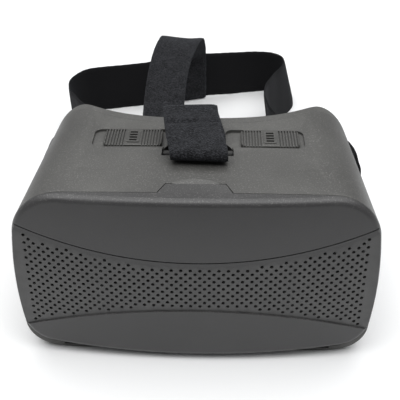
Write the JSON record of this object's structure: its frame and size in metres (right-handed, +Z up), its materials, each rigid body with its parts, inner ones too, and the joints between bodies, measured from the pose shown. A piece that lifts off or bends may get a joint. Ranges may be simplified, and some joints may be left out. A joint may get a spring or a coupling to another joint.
{
  "type": "phone-holding stereo goggles",
  "caption": "Phone-holding first-person-view goggles with a perforated hinged front cover, sliding lenses, elastic head strap and a hook-and-loop top strap.",
  "frame": {"origin": "middle of the housing's flat base", "axes": "+Z up, -Y out of the front cover, +Y towards the face and the strap, +X to the right when looking at the cover"},
  "size_m": [0.1992, 0.3306, 0.1127],
  "materials": {
    "housing": "fine spark-eroded texture",
    "cover": "fine texture, satin",
    "frame_ring": "fine texture",
    "cushion": "black artificial leather over foam",
    "inner_plastic": "black, matt",
    "foam": "black closed-cell foam",
    "slider": "ribbed",
    "lens": "clear, polished",
    "steel": "plain",
    "elastic": "black woven elastic",
    "hook_and_loop": "black loop pile"
  },
  "bodies": {
    "housing": {"main_housing": "housing", "face_frame": "frame_ring", "face_cushion": "cushion", "lens_board": "inner_plastic", "phone_seat": "inner_plastic", "septum": "inner_plastic", "left_seat_pad": "foam", "right_seat_pad": "foam", "upper_lens_rail": "inner_plastic", "lower_lens_rail": "inner_plastic", "left_hinge_pin": "steel", "right_hinge_pin": "steel", "top_strap_bar": "inner_plastic", "left_strap_bar": "steel", "right_strap_bar": "steel", "head_strap": "elastic", "top_strap": "hook_and_loop", "phone_seat_screws": "steel", "lens_board_screws": "steel", "face_frame_screws": "steel", "rail_screws": "steel"},
    "cover": {"front_cover": "cover", "left_cover_pad": "foam", "right_cover_pad": "foam"},
    "left_eye": {"left_slider": "slider", "left_lens_carriage": "inner_plastic", "left_lens": "lens", "left_lens_ring": "inner_plastic"},
    "right_eye": {"right_slider": "slider", "right_lens_carriage": "inner_plastic", "right_lens": "lens", "right_lens_ring": "inner_plastic"}
  },
  "joints": [
    {"name": "cover_hinge", "type": "hinge", "parent": "housing", "child": "cover", "pos_m": [0, -0.05, 0.0108], "axis": [1, 0, 0], "range_deg": [0, 85]},
    {"name": "left_lens_slide", "type": "slide", "parent": "housing", "child": "left_eye", "axis": [1, 0, 0], "range_m": [-0.0055, 0.0045]},
    {"name": "right_lens_slide", "type": "slide", "parent": "housing", "child": "right_eye", "axis": [1, 0, 0], "range_m": [-0.0078, 0.0024]}
  ]
}
